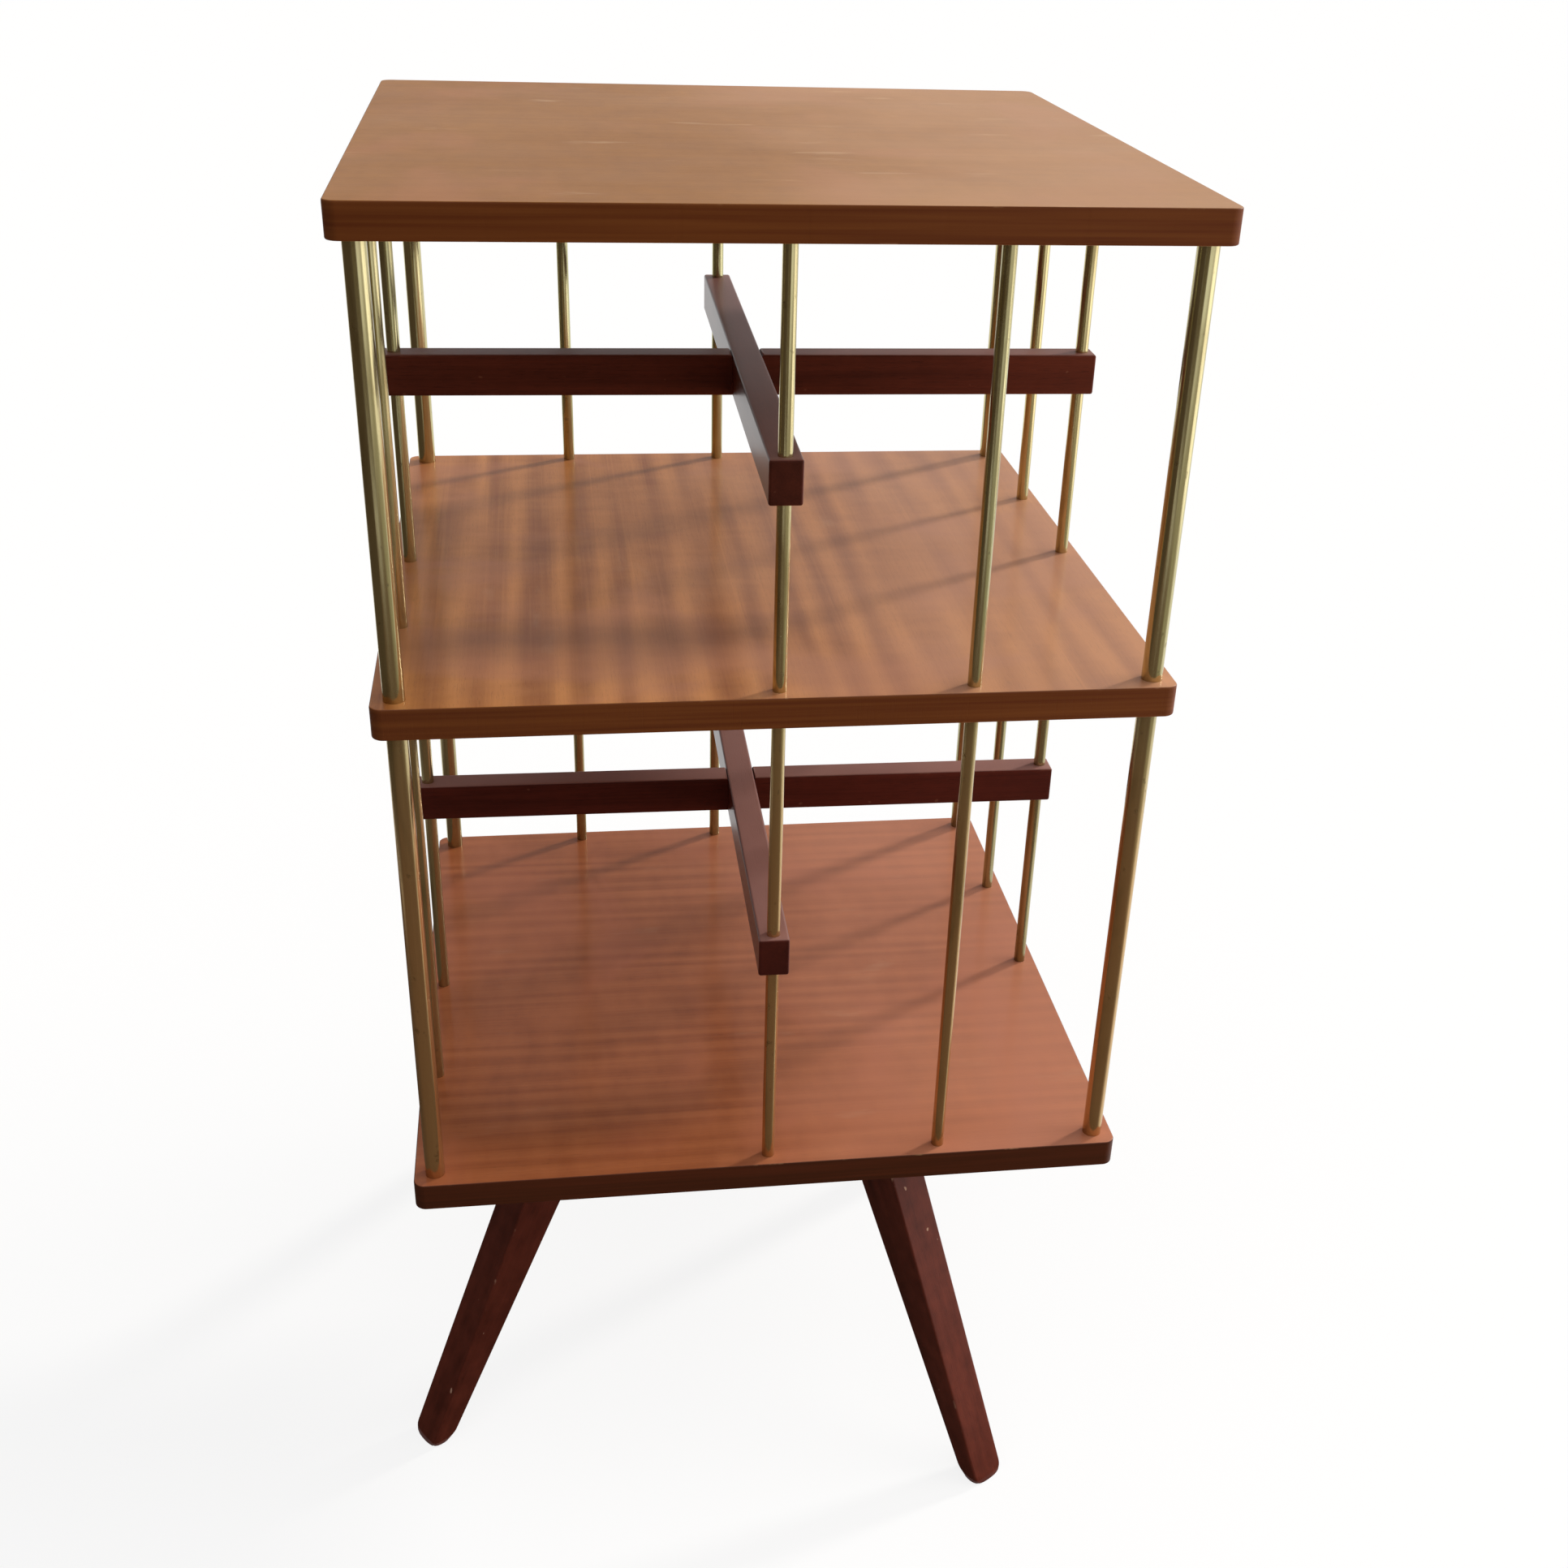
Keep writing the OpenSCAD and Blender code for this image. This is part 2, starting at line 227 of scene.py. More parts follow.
# %% [markdown]
# ## Studio
# The bookcase stands on a plain white floor. Two lamps stand for a tall window on the right: a low, narrow
# one draws crisp shadows of the rods, and a higher, wide one lights the right of each board more than the
# left, because the board above hides it there. A wide one overhead keeps the dark wood readable, and a low
# one, tilted up, stands for daylight thrown back by the floor on the right. The floor and the world look
# white to the camera and in reflections, but light the object only at a plain level.

# %% World
FILL_LEVEL = 0.34
WHITE = (1.0, 1.0, 1.0, 1.0)
world = bpy.data.worlds.new("studio_air")
scene.world = world
world.use_nodes = True
world.node_tree.nodes.clear()
bench = Wire(world.node_tree)


def looked_at(bench):
    """1 for what the camera sees, directly, in a reflection or through glass."""
    seen = bench.node("ShaderNodeLightPath", out="Is Camera Ray")
    for kind in ("Is Glossy Ray", "Is Transmission Ray"):
        seen = seen.math("MAXIMUM", seen, bench.node("ShaderNodeLightPath", out=kind))
    return seen


fill = bench.node("ShaderNodeBackground", {"Color": WHITE, "Strength": FILL_LEVEL})
white = bench.node("ShaderNodeBackground", {"Color": WHITE, "Strength": 1.0})
air = bench.node("ShaderNodeMixShader", {0: looked_at(bench), 1: fill, 2: white})
bench.node("ShaderNodeOutputWorld", {"Surface": air})
print("world fill level:", FILL_LEVEL)

# %% Floor
FLOOR_SIDE = 40.0
FLOOR_GAP = 0.0004
FLOOR_PAPER = (0.97, 0.97, 0.97, 1.0)
FLOOR_BOUNCE = (0.30, 0.29, 0.28, 1.0)
SHADOW_SHARE = 0.17
SQUARE = ((-1, -1), (1, -1), (1, 1), (-1, 1))


def new_finish(name):
    """An empty material, and a Wire to fill it from."""
    finish = bpy.data.materials.new(name)
    finish.use_nodes = True
    finish.node_tree.nodes.clear()
    return finish, Wire(finish.node_tree)


def flat_sheet(name, width, height, z, finish):
    """A rectangle about the origin at height z, facing up."""
    mesh = bpy.data.meshes.new(name)
    mesh.from_pydata([(x * width / 2, y * height / 2, z) for x, y in SQUARE], [], [(0, 1, 2, 3)])
    mesh.materials.append(finish)
    sheet = bpy.data.objects.new(name, mesh)
    scene.collection.objects.link(sheet)
    return sheet


floor_paper, bench = new_finish("floor_paper")
paper = bench.node("ShaderNodeBsdfDiffuse", {"Color": FLOOR_PAPER})
glow = bench.node("ShaderNodeEmission", {"Color": WHITE, "Strength": 1.0})
bounce = bench.node("ShaderNodeBsdfDiffuse", {"Color": FLOOR_BOUNCE})
seen_floor = bench.node("ShaderNodeMixShader", {0: SHADOW_SHARE, 1: glow, 2: paper})
lit_floor = bench.node("ShaderNodeMixShader", {0: looked_at(bench), 1: bounce, 2: seen_floor})
under = bench.node("ShaderNodeNewGeometry", out="Backfacing")
clear = bench.node("ShaderNodeBsdfTransparent")
both = bench.node("ShaderNodeMixShader", {0: under, 1: lit_floor, 2: clear})
bench.node("ShaderNodeOutputMaterial", {"Surface": both})
floor = flat_sheet("floor", FLOOR_SIDE, FLOOR_SIDE, cad_low.z - FLOOR_GAP, floor_paper)
floor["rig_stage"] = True
print("floor side in m:", FLOOR_SIDE)

# %% Lamps
LAMP_DISTANCE = 3.0
WINDOW_COLOUR = (1.0, 0.96, 0.90)
OVERHEAD_COLOUR = (1.0, 0.98, 0.96)


def wide_lamp(name, azimuth, elevation, width, level, colour):
    """A far lamp, width degrees across, that makes a white card facing it look as bright as level."""
    lamp = bpy.data.lights.new(name, "SUN")
    lamp.angle, lamp.color, lamp.energy = math.radians(width), colour, level * math.pi
    a, e = math.radians(azimuth), math.radians(elevation)
    out = Vector((math.cos(a) * math.cos(e), math.sin(a) * math.cos(e), math.sin(e)))
    holder = bpy.data.objects.new(name, lamp)
    holder.location = out * LAMP_DISTANCE
    holder.rotation_euler = out.to_track_quat("Z", "Y").to_euler()
    scene.collection.objects.link(holder)
    print(name, "strength:", round(lamp.energy, 2))


wide_lamp("window_low", azimuth=30, elevation=24.5, width=7, level=0.74, colour=WINDOW_COLOUR)
wide_lamp("window_high", azimuth=5, elevation=46, width=38, level=0.29, colour=WINDOW_COLOUR)
wide_lamp("overhead", azimuth=-80, elevation=70, width=80, level=0.20, colour=OVERHEAD_COLOUR)

# %% Daylight from the floor
PATCH_SIDE = 1.6
PATCH_WATTS = 28.0
PATCH_COLOUR = (1.0, 0.95, 0.88)
PATCH_PLACE = (1.6, -0.9, 0.29)
PATCH_AIM = Vector((-0.30, 0.17, 0.94))
patch = bpy.data.lights.new("floor_daylight", "AREA")
patch.size, patch.energy, patch.color = PATCH_SIDE, PATCH_WATTS, PATCH_COLOUR
patch_holder = bpy.data.objects.new("floor_daylight", patch)
patch_holder.location = PATCH_PLACE
patch_holder.rotation_euler = PATCH_AIM.to_track_quat("-Z", "Y").to_euler()
patch_holder.visible_camera = patch_holder.visible_glossy = False
scene.collection.objects.link(patch_holder)
print("floor patch, watts:", patch.energy)

# %% [markdown]
# Polished metal looks like what it reflects, and in a white room it reflects only white. Photographers set
# dark cards round it, out of the picture, to draw dark bands down its sides. These cards are seen only in
# reflections: one stands on the left, one behind the camera, and three lie on the floor, in front, on the
# right and under the case, because upright bars that are seen from above reflect the floor. The paler one,
# in front on the right, turns the band into a slow fade. A bright card stands on the right, as a window
# would, and gives each bar a light edge.

# %% Cards
BORDER_FROM, BORDER_TO = 0.34, 0.5


def set_card(name, middle, facing, width, height, shade, glow=1.0):
    """A card with soft borders, for reflections alone."""
    ink, bench = new_finish(name + "_paper")
    here = own_place(bench)
    inside = [1 - ramp(abs(axis_of(here, axis)), side * BORDER_FROM, side * BORDER_TO)
              for axis, side in (("X", width), ("Y", height))]
    face = bench.node("ShaderNodeEmission", {"Color": linear(shade), "Strength": glow})
    see_through = bench.node("ShaderNodeBsdfTransparent")
    sheet = bench.node("ShaderNodeMixShader", {0: inside[0] * inside[1], 1: see_through, 2: face})
    bench.node("ShaderNodeOutputMaterial", {"Surface": sheet})
    card = flat_sheet(name, width, height, 0, ink)
    card.location = middle
    card.rotation_euler = Vector(facing).to_track_quat("Z", "Y").to_euler()
    card.visible_camera = card.visible_diffuse = card.visible_shadow = card.visible_transmission = False
    card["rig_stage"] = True
    print(name, "is at", [round(v, 2) for v in middle])


set_card("card_left", (-1.1, -0.6, 0.40), facing=(1, 0, 0), width=3.8, height=2.6, shade="54483c")
set_card("card_front", (-0.45, -2.40, 0.50), facing=(0, 1, 0), width=2.0, height=2.6, shade="665b4a")
set_card("card_floor", (-0.25, -1.25, 0.004), facing=(0, 0, 1), width=2.8, height=2.1, shade="6c5a4c")
set_card("card_floor_right", (1.75, -1.75, 0.002), facing=(0, 0, 1), width=3.8, height=3.0, shade="a39d8c")
set_card("card_under", (-0.35, 0.0, 0.003), facing=(0, 0, 1), width=1.7, height=1.3, shade="5c4d42")
set_card("card_window", (2.3, -0.45, 0.80), facing=(-1, 0, 0), width=2.0, height=2.2, shade="fdf8f6",
         glow=1.9)

# %% [markdown]
# ## Veneer
# The shelves are chipboard under a satin-varnished ribbon-stripe mahogany veneer, with a darker strip glued
# round the edges. A picture of veneer would tie the part to one board, so the figure is made from stretched
# noise: broad ribbons along the grain, fine fibres, and short dark pores. The top and bottom boards have
# their grain from side to side, the middle one from front to back. The edge strip is found by its distance
# from the centre. The right side of each board is painted paler, as painted light and sheen from the window.

# %% Parts of a board's finish
BOARD_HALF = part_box("shelf_top")[1].x
BOARD_CORNER = 0.007
STRIP_FROM, STRIP_TO = 0.0007, 0.0002
RELIEF_STRENGTH = 0.35
DULL_WOOD = 0.1


def coated(bench, colour, roughness, height, depth, coat, coat_roughness):
    """Ends a wood finish: dull wood under a thin satin coat, with its relief."""
    relief = bench.node("ShaderNodeBump", {"Strength": RELIEF_STRENGTH, "Distance": depth, "Height": height})
    wood = bench.node("ShaderNodeBsdfPrincipled",
                      {"Base Color": colour, "Roughness": roughness, "Normal": relief,
                       "Specular IOR Level": DULL_WOOD, "Coat Weight": coat,
                       "Coat Roughness": coat_roughness})
    bench.node("ShaderNodeOutputMaterial", {"Surface": wood})


def ribbons(place, width):
    """Bands along the grain, about width across, that waver, come and go."""
    drift = noise(place, (1.8, 0.22 / width, 1.0))
    wave = axis_of(place, "Y") * (math.pi / width) + 11.0 * drift
    shown = ramp(noise(place, (4.0, 0.33 / width, 1.0)), 0.26, 0.66)
    return wave.math("SINE", wave) * shown


def edge_strip(here):
    """1 on the strip round a board, which starts STRIP_FROM inside its rounded outline."""
    sides = [abs(axis_of(here, axis)) for axis in "XY"]
    past = [here.math("MAXIMUM", side - (BOARD_HALF - BOARD_CORNER), 0.0) for side in sides]
    reach = here.math("SQRT", past[0] * past[0] + past[1] * past[1])
    return ramp(reach, BOARD_CORNER - STRIP_FROM, BOARD_CORNER - STRIP_TO)


print("half a board in mm:", round(1000 * BOARD_HALF, 1))

# %% Veneer finish
# Painted light: how far, and how raggedly, the right of each board is painted paler for the window's light
# and sheen.
PAINTED_LIGHT_WIDTH = 0.28
PAINTED_LIGHT_RAGGED = 0.3
SCUFFED = "d9b895"
BARE_EDGE = "b98c66"


def veneer(name, turn, pale, deep, blush, ribbon_width, ribbon_share, painted_window_light, painted_light_share, painted_light_start,
           scuff_share, edge_pale, edge_deep, coat):
    """A board's finish: the figure of its face, the strip round it, wear, and varnish."""
    finish, bench = new_finish(name)
    here = own_place(bench)
    place = here.node("ShaderNodeMapping", {"Vector": here, "Rotation": (0, 0, math.radians(turn))})
    fibre = noise(place, (10.0, 620.0, 1.0), detail=3.5)
    hairline = ramp(noise(place, (2.5, 260.0, 1.0)), 0.60, 0.74)
    mottle = noise(place, (70.0, 30.0, 1.0), detail=2.5)
    cloud = noise(place, (4.0, 5.0, 1.0), detail=2.5, distortion=0.6)
    pore = ramp(noise(place, (130.0, 2400.0, 1.0), detail=1.0), 0.60, 0.72)
    # Painted light: this mask makes the right of the board paler, in its tone and in the pale colour mixed in
    # below.
    painted_light_mask = ramp(axis_of(here, "X") + PAINTED_LIGHT_RAGGED * cloud, painted_light_start, painted_light_start + PAINTED_LIGHT_WIDTH)
    tone = (0.5 + ribbon_share * (ribbons(place, ribbon_width) + 0.4 * hairline) + swung(fibre, 0.35)
            + swung(mottle, 0.5) + swung(cloud, 0.7) + 0.17 * painted_light_mask)
    face = scaled(mixed(linear(deep), linear(pale), tone), 1 - 0.16 * pore)
    blushing = ramp(noise(place, (9.0, 6.0, 1.0), detail=3.0, distortion=0.8), 0.48, 0.70)
    face = mixed(face, linear(blush), 0.45 * blushing)
    # Painted light: the pale colour of the window's light and sheen, mixed in on the right.
    face = mixed(face, linear(painted_window_light), painted_light_mask * painted_light_share)
    scuff = ramp(noise(place, (15.0, 42.0, 1.0), detail=4.0), 0.63, 0.82) * scuff_share
    face = mixed(face, linear(SCUFFED), scuff)

    line = noise(here, (6.0, 6.0, 420.0), detail=3.5)
    strip = mixed(linear(edge_deep), linear(edge_pale), ramp(line, 0.15, 0.85))
    colour = mixed(face, strip, edge_strip(here))

    patchy = ramp(noise(here, (60.0, 60.0, 60.0), detail=3.0), 0.62, 0.74)
    rubbed = stored(bench, "worn") * patchy
    colour = mixed(colour, linear(BARE_EDGE), rubbed * 0.4)
    smear = noise(here, (9.0, 16.0, 9.0), detail=3.0)
    roughness = 0.52 + swung(smear, 0.16) + 0.10 * scuff + 0.14 * rubbed
    varnish = coat * (0.75 + 0.5 * smear) * (1 - 0.6 * rubbed)
    coated(bench, colour, roughness, fibre * 0.6 - pore, 0.00010, varnish, coat_roughness=0.16)
    return finish


# Each board's pale colour and share for its right side are painted light from the window, not a real fading.
top_veneer = veneer(
    "top_veneer", turn=0, pale="a16b2b", deep="7c4d1c", blush="a26840", ribbon_width=0.009, ribbon_share=0.06,
    painted_window_light="d2a787", painted_light_share=0.36, painted_light_start=0.06, scuff_share=0.42, edge_pale="703c17", edge_deep="5a290c",
    coat=0.05)
middle_veneer = veneer(
    "middle_veneer", turn=90, pale="cb874b", deep="8e5020", blush="b97a5a", ribbon_width=0.013,
    ribbon_share=0.38, painted_window_light="b8927f", painted_light_share=0.44, painted_light_start=0.02, scuff_share=0.12, edge_pale="733e19",
    edge_deep="5b2a0f", coat=0.16)
bottom_veneer = veneer(
    "bottom_veneer", turn=0, pale="aa643c", deep="783c1d", blush="a55e42", ribbon_width=0.008,
    ribbon_share=0.20, painted_window_light="d2937a", painted_light_share=0.38, painted_light_start=0.06, scuff_share=0.10, edge_pale="522410",
    edge_deep="3e1c0a", coat=0.20)
print("veneers:", [m.name for m in (top_veneer, middle_veneer, bottom_veneer)])

# %% [markdown]
# ## Dark wood
# The crosses and the stand are solid mahogany, stained nearly black-brown under satin varnish. The grain of
# each bar and leg runs along it, and they point in many directions, so the finish doesn't read the object's
# axes. Each piece stores its own grain axes in an attribute instead, and one finish then fits them all. End
# grain drinks more stain, so it is darker. Satin varnish shines most where it is seen at a slant. Whatever
# faces up is painted paler and duller: partly a little dust, partly a painted sheen of the light on the tops.

# %% Dark wood finish
# Pale colour for whatever faces up: a little dust, and also painted sheen of the light on the tops.
DUST_AND_SHEEN = "a98078"
LITTLE_WEAR = {"bare": "8a5a44", "wear_share": 0.25}


def dark_wood(name, pale, deep, bare, wear_share, dust_and_sheen_share, gloss, sheen_share, scuffs=0.3,
              stored_axes=True):
    """A stained finish along the grain axes that a piece stores, or along the object's own."""
    finish, bench = new_finish(name)
    place = stored(bench, "grain_at", out="Vector") if stored_axes else own_place(bench)
    streak = noise(place, (4.0, 70.0, 70.0), detail=3.0, distortion=0.4)
    fibre = noise(place, (14.0, 900.0, 900.0), detail=3.0)
    cloud = noise(place, (9.0, 14.0, 14.0))
    scuff = noise(place, (75.0, 95.0, 95.0), detail=5.0)
    pore = ramp(noise(place, (120.0, 2200.0, 2200.0), detail=1.0), 0.60, 0.72)
    tone = 0.5 + swung(streak, 1.3) + swung(fibre, 0.5) + swung(cloud, 0.6) + swung(scuff, scuffs)
    darker = (1 - 0.25 * pore) * (1 - 0.35 * stored(bench, "end_grain"))
    colour = scaled(mixed(linear(deep), linear(pale), tone), darker)

    patchy = ramp(noise(place, (70.0, 90.0, 90.0), detail=3.0), 0.60, 0.72)
    rubbed = stored(bench, "worn") * patchy * wear_share
    nick = ramp(noise(place, (110.0, 170.0, 170.0), detail=1.0), 0.77, 0.80) * wear_share
    bared = rubbed.math("MAXIMUM", rubbed, nick)
    colour = mixed(colour, linear(bare), bared)
    smear = noise(place, (12.0, 22.0, 22.0), detail=3.0)
    normal = bench.node("ShaderNodeNewGeometry", out="Normal")
    facing_up = ramp(axis_of(normal, "Z"), 0.55, 0.95)
    # Faces up are painted paler: partly dust, partly painted sheen of the light falling on them.
    dust_and_sheen = facing_up * dust_and_sheen_share * (0.7 + 0.6 * smear)
    colour = mixed(colour, linear(DUST_AND_SHEEN), dust_and_sheen)

    roughness = 0.55 + swung(smear, 0.18) + 0.15 * bared + 0.3 * dust_and_sheen
    slant = bench.node("ShaderNodeLayerWeight", {"Blend": 0.5}, out="Facing")
    sheen = gloss + sheen_share * slant * slant
    varnish = sheen * (1 - 0.7 * bared) * (1 - 0.6 * facing_up)
    coated(bench, colour, roughness, fibre * 0.6 - pore - nick, 0.00012, varnish, coat_roughness=0.28)
    return finish


# The lower cross gets a larger share, for the paler painted sheen on its tops.
cross_stain = {
    "upper": dark_wood("upper_cross_stain", pale="632a19", deep="3c150a", dust_and_sheen_share=0.36, gloss=0.03,
                       sheen_share=0.9, **LITTLE_WEAR),
    "lower": dark_wood("lower_cross_stain", pale="5f2418", deep="39110a", dust_and_sheen_share=0.72, gloss=0.03,
                       sheen_share=0.9, **LITTLE_WEAR)}
leg_stain = dark_wood("leg_stain", pale="642a1c", deep="46190e", bare="c09a82", wear_share=0.75,
                      dust_and_sheen_share=0.12, gloss=0.20, sheen_share=0.0, scuffs=1.4)
pin_stain = dark_wood("pin_stain", pale="67271a", deep="3e130c", dust_and_sheen_share=0.0, gloss=0.1, sheen_share=0.0,
                      stored_axes=False, **LITTLE_WEAR)
print("dark woods:", [m.name for m in (*cross_stain.values(), leg_stain, pin_stain)])

# %% [markdown]
# ## Brass and steel
# The posts and rods are drawn brass, gone a little brown and olive with age. Drawing leaves hairlines along
# the bar, so noise that is very fine round the bar and very long down it gives both colour and relief. Clouds
# of tarnish dull the shine, and grime gathers near the shelves. The front bars of the lower tier have the
# warmest tone, and those further back are painted darker and duller, as painted shade. The swivel and its
# screws are zinc-grey steel.

# %% Brass finish
TIER_BLEND = (0.45, 0.65)
# Where the painted shade on the back bars of the lower tier begins, from front to back.
SHADED_BACK_BLEND = (-0.20, -0.14)
GRIME = "6b5530"


def bare_metal(bench, colour, metallic, roughness, height, strength, depth):
    """Ends a metal finish, with its relief."""
    relief = bench.node("ShaderNodeBump", {"Strength": strength, "Distance": depth, "Height": height})
    metal = bench.node("ShaderNodeBsdfPrincipled",
                       {"Base Color": colour, "Metallic": metallic, "Roughness": roughness, "Normal": relief})
    bench.node("ShaderNodeOutputMaterial", {"Surface": metal})


def aged_brass():
    """Drawn brass with tarnish, spots, and grime near the ends of a bar."""
    finish, bench = new_finish("aged_brass")
    here = own_place(bench)
    hairline = noise(here, (1500.0, 1500.0, 3.0))
    cloud = noise(here, (55.0, 55.0, 11.0), detail=4.0, distortion=0.5)
    spot = ramp(noise(here, (260.0, 260.0, 170.0), detail=1.0), 0.70, 0.78)
    lower = 1 - ramp(axis_of(here, "Z"), *TIER_BLEND)
    shaded_back = ramp(axis_of(here, "Y"), *SHADED_BACK_BLEND)
    bright = mixed(linear("d3c391"), linear("c6c195"), stored(bench, "own_tone"))
    bright = mixed(bright, linear("cfab78"), lower * (1 - shaded_back))
    colour = mixed(bright, linear("94804f"), ramp(cloud, 0.46, 0.74) * 0.7)
    # Painted shade: the back bars of the lower tier are painted darker and duller.
    colour = mixed(colour, linear("6f6044"), 0.32 * lower * shaded_back)
    colour = mixed(colour, linear(GRIME), 0.4 * spot)
    colour = mixed(colour, linear(GRIME), stored(bench, "near_end") * 0.18)
    colour = scaled(colour, 0.88 + 0.24 * hairline)
    roughness = 0.13 + 0.12 * ramp(cloud, 0.40, 0.75) + 0.06 * hairline + 0.10 * spot
    bare_metal(bench, colour, 1 - 0.07 * lower, roughness, hairline, strength=0.18, depth=0.00006)
    return finish


brass = aged_brass()
print("finish:", brass.name)


# %% Steel finish
def zinc_steel():
    """Zinc-plated steel with a faint spangle and brown stains."""
    finish, bench = new_finish("zinc_steel")
    here = own_place(bench)
    spangle = noise(here, (330.0, 330.0, 330.0), distortion=1.2)
    stain = ramp(noise(here, (60.0, 60.0, 60.0), detail=4.0), 0.55, 0.75)
    colour = mixed(linear("8f9193"), linear("b2b3b3"), spangle)
    colour = mixed(colour, linear("6b5a49"), 0.5 * stain)
    roughness = 0.34 + swung(spangle, 0.2) + 0.15 * stain
    bare_metal(bench, colour, 1.0, roughness, spangle, strength=0.1, depth=0.0001)
    return finish


steel = zinc_steel()
print("finish:", steel.name)

# %% [markdown]
# ## Eased edges
# No sawn edge is perfectly sharp: a maker eases it with sandpaper, and years of hands round it more. The CAD
# solids have knife edges, so each wooden piece is a copy of its solid with the triangles merged into whole
# faces and the outer edges rounded by about a millimetre. Edges of holes and joints stay sharp. The new
# rounded strips store how worn they are, which the finishes read to show bare wood there. Where strips meet
# a joint they can leave slivers, so each mesh is cleaned at the end.

# %% Clean a worked mesh
NO_LENGTH = 1e-6
NO_AREA = 1e-11
SAME_PLANE = 0.9999
FOLD_ANGLE = math.radians(170)
SHARP_ANGLE = math.radians(33)


def clean(shape):
    """Clears slivers without size, splits faces that would fold over, and marks the sharp edges."""
    bmesh.ops.remove_doubles(shape, verts=shape.verts, dist=NO_LENGTH)
    bmesh.ops.dissolve_degenerate(shape, edges=shape.edges, dist=NO_LENGTH)
    shape.normal_update()
    poor = {}
    for corners in shape.calc_loop_triangles():
        a, b, c = (corner.vert.co for corner in corners)
        if (b - a).cross(c - a).dot(corners[0].face.normal) < NO_AREA:
            poor[corners[0].face] = True
    level = [near for f in poor for e in f.edges for near in e.link_faces
             if near.normal.dot(f.normal) > SAME_PLANE]
    poor = [f for f in dict.fromkeys([*poor, *level]) if len(f.verts) > 3]
    bmesh.ops.triangulate(shape, faces=poor, ngon_method="BEAUTY")
    bmesh.ops.dissolve_degenerate(shape, edges=shape.edges, dist=NO_LENGTH)
    shape.normal_update()
    folded = [f for f in shape.faces if sum(e.calc_face_angle(0.0) > FOLD_ANGLE for e in f.edges) > 1]
    longest = [max(f.edges, key=lambda e: e.calc_length()) for f in folded]
    bmesh.ops.rotate_edges(shape, edges=longest)
    shape.normal_update()
    for face in shape.faces:
        face.smooth = True
    for edge in shape.edges:
        edge.smooth = edge.calc_face_angle(0.0) < SHARP_ANGLE
    print("faces split:", len(poor), "slivers turned:", len(folded))


# %% Store the grain
UP = Vector((0, 0, 1))
GRAIN_SHIFTS = 97
GRAIN_STEP = 0.37
END_GRAIN_FROM = 0.9


def node_middle(node):
    """The middle of a CAD node's box."""
    low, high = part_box(node)
    return (low + high) / 2


def store_grain(mesh, node, along):
    """Stores each point's place along the grain and across it, and which faces show end grain."""
    along = along.normalized()
    side = along.cross(UP).normalized()
    axes = (along, side, side.cross(along))
    centre = node_middle(node)
    shift = sum(ord(letter) for letter in node) % GRAIN_SHIFTS * GRAIN_STEP
    grain = [(v.co - centre).dot(axis) + shift for v in mesh.vertices for axis in axes]
    mesh.attributes.new("grain_at", "FLOAT_VECTOR", "POINT").data.foreach_set("vector", grain)
    ends = [float(abs(face.normal.dot(along)) > END_GRAIN_FROM) for face in mesh.polygons]
    mesh.attributes.new("end_grain", "FLOAT", "FACE").data.foreach_set("value", ends)
    print(mesh.name, "faces of end grain:", int(sum(ends)))


# %% Ease a CAD piece
MERGE_WITHIN = 2e-6
FLAT_ANGLE = math.radians(0.5)
CORNER_ANGLE = math.radians(40)
EASE_STEPS = 3


def merged(node):
    """A node's triangles, joined at their points."""
    shape = bmesh.new()
    shape.from_mesh(frame["nodes"][node].data)
    bmesh.ops.remove_doubles(shape, verts=shape.verts, dist=MERGE_WITHIN)
    return shape


def mesh_from(shape, name):
    """Ends the work on a shape, and returns it as a mesh."""
    mesh = bpy.data.meshes.new(name)
    shape.to_mesh(mesh)
    shape.free()
    return mesh


def eased(node, width, picked, along, finish, shaped=None):
    """A copy of a wooden node whose picked edges are rounded, with its grain axes stored."""
    shape = merged(node)
    mark = shape.verts.layers.float.new("worn")
    bmesh.ops.dissolve_limit(shape, angle_limit=FLAT_ANGLE, verts=shape.verts, edges=shape.edges)
    sharp = [e for e in shape.edges if len(e.link_faces) == 2 and e.calc_face_angle(0.0) > CORNER_ANGLE]
    outer = [e for e in sharp if picked(e)]
    rounded = bmesh.ops.bevel(shape, geom=outer, offset=width, segments=EASE_STEPS, profile=0.5,
                              affect="EDGES", clamp_overlap=True)
    strips = set(rounded["faces"])
    for v in {v for f in strips for v in f.verts}:
        v[mark] = float(all(near in strips for near in v.link_faces))
    if shaped:
        shaped(shape)
    clean(shape)
    mesh = mesh_from(shape, node + "_eased")
    store_grain(mesh, node, along)
    mesh.materials.append(finish)
    piece = bpy.data.objects.new(node + "_eased", mesh)
    scene.collection.objects.link(piece)
    weighted = piece.modifiers.new("flat_faces_stay_flat", "WEIGHTED_NORMAL")
    weighted.keep_sharp = True
    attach(piece, frame["nodes"][node]["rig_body"])
    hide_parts(node)
    print(piece.name, "edges eased:", len(outer), "of", len(sharp), "faces:", len(mesh.polygons))


# %% Shelves
BOARD_EASE = 0.0009
RIM_WIDTH = 0.0045
BOARD_FINISH = {"shelf_top": top_veneer, "shelf_middle": middle_veneer, "shelf_bottom": bottom_veneer}


def middle_of(edge):
    """The middle of an edge."""
    return (edge.verts[0].co + edge.verts[1].co) / 2


def on_board_rim(edge):
    """Whether an edge lies round the outside of a board."""
    return max(abs(middle_of(edge).x), abs(middle_of(edge).y)) > BOARD_HALF - RIM_WIDTH


for node, finish in BOARD_FINISH.items():
    eased(node, BOARD_EASE, on_board_rim, Vector((1, 0, 0)), finish)

